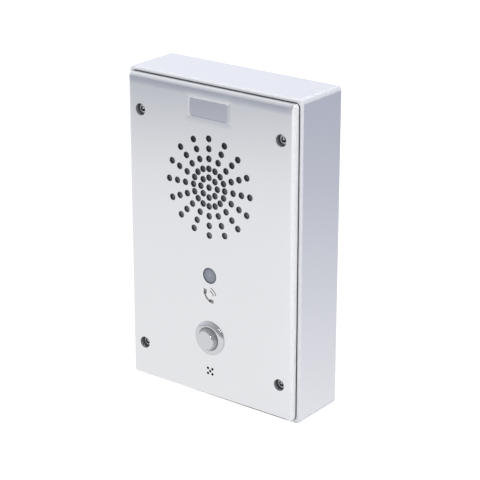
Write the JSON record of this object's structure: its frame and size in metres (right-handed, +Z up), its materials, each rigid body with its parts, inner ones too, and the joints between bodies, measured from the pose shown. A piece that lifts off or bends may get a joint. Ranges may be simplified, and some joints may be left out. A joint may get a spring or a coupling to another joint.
{
  "type": "video door intercom",
  "caption": "Flush-faced wall intercom: a folded steel box and plate with sound holes, a camera window, a sprung call button and a microphone.",
  "frame": {"origin": "middle of the box's back, in the plane of the wall", "axes": "+Z up the face, +Y from the visitor into the wall, +X to the visitor's right"},
  "size_m": [0.13, 0.0497, 0.205],
  "materials": {
    "box_steel": "satin-finished sheet steel",
    "plate_steel": "steel brushed up and down",
    "dark_steel": "blackened steel",
    "bright_steel": "turned and polished steel",
    "name_plate_metal": "satin aluminium, bare",
    "black_rubber": "soft black rubber",
    "zinc_steel": "zinc-plated steel",
    "microphone_metal": "drawn aluminium can",
    "ferrite": "dark sintered magnet",
    "screen_cloth": "fine black cloth",
    "cone_paper": "pressed dark paper",
    "contact_brass": "bare brass and copper",
    "smoked_window": "smoked clear plastic",
    "black_plastic": "moulded black plastic",
    "white_plastic": "moulded white plastic",
    "circuit_board": "green solder mask",
    "green_plastic": "moulded green plastic",
    "relay_plastic": "glossy blue plastic",
    "capacitor_sleeve": "shrunk dark sleeve",
    "red_lead": "soft lead jacket",
    "grey_lead": "soft lead jacket",
    "blue_lead": "soft lead jacket",
    "black_lead": "soft lead jacket"
  },
  "bodies": {
    "housing": {"back_box": "box_steel", "face_gasket": "black_rubber", "cover_posts": "zinc_steel", "front_plate": "plate_steel", "screw_cups": "dark_steel", "cover_screws": "bright_steel", "name_plate": "name_plate_metal", "speaker_mesh": "screen_cloth", "speaker_gasket": "black_rubber", "speaker_surround": "black_rubber", "speaker_cone": "cone_paper", "speaker_dust_cap": "cone_paper", "voice_coil": "contact_brass", "speaker_basket": "zinc_steel", "speaker_pole_plate": "zinc_steel", "speaker_magnet": "ferrite", "speaker_yoke": "zinc_steel", "speaker_clamp": "zinc_steel", "mounting_studs": "zinc_steel", "stud_nuts": "zinc_steel", "camera_window": "smoked_window", "camera_lens": "black_plastic", "camera_holder": "black_plastic", "camera_sensor": "black_plastic", "camera_board": "circuit_board", "button_bezel": "bright_steel", "button_spring": "zinc_steel", "switch_guide": "black_plastic", "switch_base": "black_plastic", "switch_terminals": "contact_brass", "terminal_plug": "white_plastic", "button_seal": "black_rubber", "button_washer": "zinc_steel", "button_nut": "zinc_steel", "microphone": "microphone_metal", "microphone_boot": "black_rubber", "main_board": "circuit_board", "board_standoffs": "zinc_steel", "board_screws": "zinc_steel", "network_jack": "zinc_steel", "terminal_block": "green_plastic", "relay": "relay_plastic", "capacitors": "capacitor_sleeve", "processor_chips": "black_plastic", "plug_headers": "white_plastic", "lead_plugs": "white_plastic", "cable_grommet": "black_rubber", "speaker_lead": "red_lead", "camera_lead": "grey_lead", "button_lead": "blue_lead", "microphone_lead": "black_lead"},
    "call_button": {"button_cap": "bright_steel", "button_plunger": "white_plastic", "contact_bridge": "contact_brass"}
  },
  "joints": [
    {"name": "call_button_press", "type": "slide", "parent": "housing", "child": "call_button", "axis": [0, 1, 0], "range_m": [0, 0.0025], "stiffness_N_per_m": 800, "springref_m": -0.0025, "deforming": ["button_spring"]}
  ]
}
